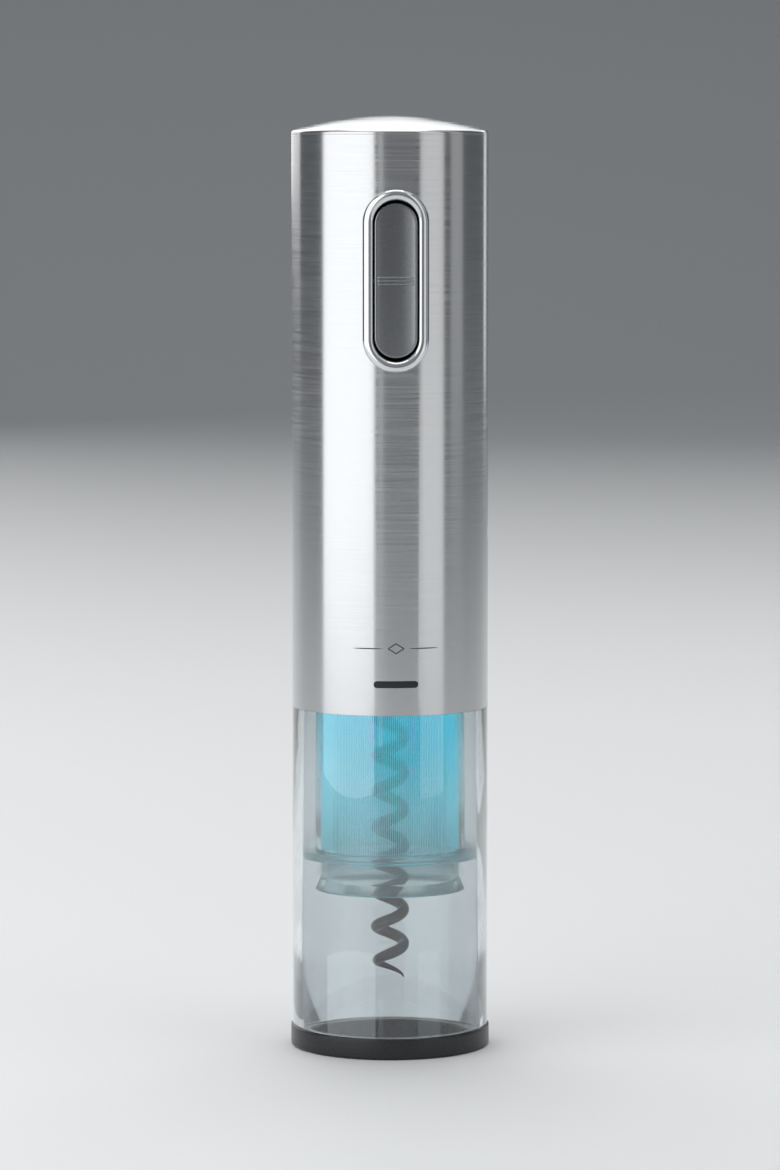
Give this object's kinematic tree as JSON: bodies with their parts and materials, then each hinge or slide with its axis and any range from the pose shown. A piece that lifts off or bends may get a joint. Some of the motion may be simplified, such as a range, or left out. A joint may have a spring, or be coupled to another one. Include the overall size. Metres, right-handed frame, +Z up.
{
  "type": "electric wine opener",
  "caption": "Slim upright electric wine opener: brushed steel tube with a rocker switch, over a clear tube with a cork chamber and worm inside.",
  "frame": {"origin": "centre of the neck opening, in the plane of the base ring's underside", "axes": "+Z up along the body to the top cap; -Y the front with the switch; +X the side with the charging socket"},
  "size_m": [0.0488, 0.0495, 0.228],
  "materials": {
    "brushed_steel": "fine brushing round the body",
    "chrome": "polished plating",
    "satin_button": "satin plating",
    "black_ring": "fine satin texture",
    "clear_tube": "clear polycarbonate",
    "clear_chamber": "clear polycarbonate",
    "lit_guide": "clear acrylic lit blue from above",
    "coated_worm": "smooth non-stick coating",
    "smoked_window": "smoked window",
    "black_plastic": "moulded",
    "grey_nylon": "moulded",
    "white_acetal": "moulded gears",
    "turned_steel": "turned",
    "zinc_screws": "zinc plated",
    "sintered_bronze": "sintered",
    "brass": "machined",
    "motor_steel": "drawn can",
    "motor_cap": "moulded, tinned terminals",
    "ferrite": "pressed ferrite",
    "laminations": "stacked steel",
    "copper": "enamelled wire",
    "cell_wrap": "shrink wrap",
    "nickel": "nickel strip",
    "circuit_board": "green solder mask",
    "white_board": "white solder mask",
    "blue_lamp": "lit blue lamp",
    "indicator_lamp": "lamp, off",
    "chip_black": "moulded",
    "plunger_red": "moulded",
    "socket_steel": "stamped and tinned",
    "wire_red": "wire insulation",
    "wire_blue": "wire insulation"
  },
  "bodies": {
    "housing": {"steel_sleeve": "brushed_steel", "top_cap": "brushed_steel", "switch_bezel": "chrome", "base_ring": "black_ring", "outer_tube": "clear_tube", "cork_chamber": "clear_chamber", "light_guide": "lit_guide", "indicator_lens": "smoked_window", "bulkhead": "black_plastic", "switch_well": "black_plastic", "chassis_front": "black_plastic", "chassis_rear": "black_plastic", "gearbox_lid": "black_plastic", "gearbox_housing": "grey_nylon", "thrust_washer": "turned_steel", "rocker_pin": "turned_steel", "tube_screws": "zinc_screws", "chamber_screws": "zinc_screws", "gearbox_screws": "zinc_screws", "motor_screws": "zinc_screws", "lid_screws": "zinc_screws", "chassis_screws": "zinc_screws", "output_bush": "sintered_bronze", "motor_bushes": "sintered_bronze", "motor_can": "motor_steel", "motor_end_cap": "motor_cap", "motor_magnets": "ferrite", "battery_cells": "cell_wrap", "battery_tabs": "nickel", "main_board": "circuit_board", "usb_board": "circuit_board", "indicator_board": "circuit_board", "led_board": "white_board", "blue_leds": "blue_lamp", "indicator_leds": "indicator_lamp", "board_chips": "chip_black", "push_switches": "chip_black", "usb_socket": "socket_steel", "power_leads": "wire_red", "led_leads": "wire_blue"},
    "worm": {"worm": "coated_worm", "worm_pin": "turned_steel", "output_carrier": "turned_steel", "output_planet_pins": "turned_steel"},
    "output_planet_1": {"output_planet_1": "white_acetal"},
    "output_planet_2": {"output_planet_2": "white_acetal"},
    "output_planet_3": {"output_planet_3": "white_acetal"},
    "first_carrier": {"first_carrier": "white_acetal", "first_planet_pins": "turned_steel"},
    "first_planet_1": {"first_planet_1": "white_acetal"},
    "first_planet_2": {"first_planet_2": "white_acetal"},
    "first_planet_3": {"first_planet_3": "white_acetal"},
    "rotor": {"motor_shaft": "turned_steel", "motor_pinion": "brass", "armature_core": "laminations", "armature_windings": "copper", "commutator": "copper"},
    "rocker": {"rocker_button": "satin_button"},
    "upper_plunger": {"upper_plunger": "plunger_red"},
    "lower_plunger": {"lower_plunger": "plunger_red"}
  },
  "joints": [
    {"name": "worm_spin", "type": "hinge", "parent": "housing", "child": "worm", "pos_m": [0, 0, 0.1], "axis": [0, 0, 1], "continuous": true},
    {"name": "output_planet_1_spin", "type": "hinge", "parent": "worm", "child": "output_planet_1", "pos_m": [0.009, 0, 0.1], "axis": [0, 0, 1], "continuous": true},
    {"name": "output_planet_2_spin", "type": "hinge", "parent": "worm", "child": "output_planet_2", "pos_m": [-0.0045, 0.00779, 0.1], "axis": [0, 0, 1], "continuous": true},
    {"name": "output_planet_3_spin", "type": "hinge", "parent": "worm", "child": "output_planet_3", "pos_m": [-0.0045, -0.00779, 0.1], "axis": [0, 0, 1], "continuous": true},
    {"name": "first_carrier_spin", "type": "hinge", "parent": "housing", "child": "first_carrier", "pos_m": [0, 0, 0.11], "axis": [0, 0, 1], "continuous": true},
    {"name": "first_planet_1_spin", "type": "hinge", "parent": "first_carrier", "child": "first_planet_1", "pos_m": [0.009, 0, 0.1], "axis": [0, 0, 1], "continuous": true},
    {"name": "first_planet_2_spin", "type": "hinge", "parent": "first_carrier", "child": "first_planet_2", "pos_m": [-0.0045, 0.00779, 0.1], "axis": [0, 0, 1], "continuous": true},
    {"name": "first_planet_3_spin", "type": "hinge", "parent": "first_carrier", "child": "first_planet_3", "pos_m": [-0.0045, -0.00779, 0.1], "axis": [0, 0, 1], "continuous": true},
    {"name": "rotor_spin", "type": "hinge", "parent": "housing", "child": "rotor", "pos_m": [0, 0, 0.12], "axis": [0, 0, 1], "continuous": true},
    {"name": "rocker_tilt", "type": "hinge", "parent": "housing", "child": "rocker", "pos_m": [0, -0.0185, 0.1886], "axis": [1, 0, 0], "range_deg": [-2.5, 2.5], "stiffness_Nm_per_rad": 0.4},
    {"name": "upper_plunger_slide", "type": "slide", "parent": "housing", "child": "upper_plunger", "axis": [0, 1, 0], "range_m": [-0.00044, 0.00044]},
    {"name": "lower_plunger_slide", "type": "slide", "parent": "housing", "child": "lower_plunger", "axis": [0, 1, 0], "range_m": [-0.00044, 0.00044]}
  ],
  "couplings": [
    {"joint": "output_planet_1_spin", "follows": "worm_spin", "ratio": -2.5},
    {"joint": "output_planet_2_spin", "follows": "worm_spin", "ratio": -2.5},
    {"joint": "output_planet_3_spin", "follows": "worm_spin", "ratio": -2.5},
    {"joint": "first_carrier_spin", "follows": "worm_spin", "ratio": 6},
    {"joint": "first_planet_1_spin", "follows": "worm_spin", "ratio": -15},
    {"joint": "first_planet_2_spin", "follows": "worm_spin", "ratio": -15},
    {"joint": "first_planet_3_spin", "follows": "worm_spin", "ratio": -15},
    {"joint": "rotor_spin", "follows": "worm_spin", "ratio": 36},
    {"joint": "upper_plunger_slide", "follows": "rocker_tilt", "m_per_rad": -0.01},
    {"joint": "lower_plunger_slide", "follows": "rocker_tilt", "m_per_rad": 0.01}
  ]
}
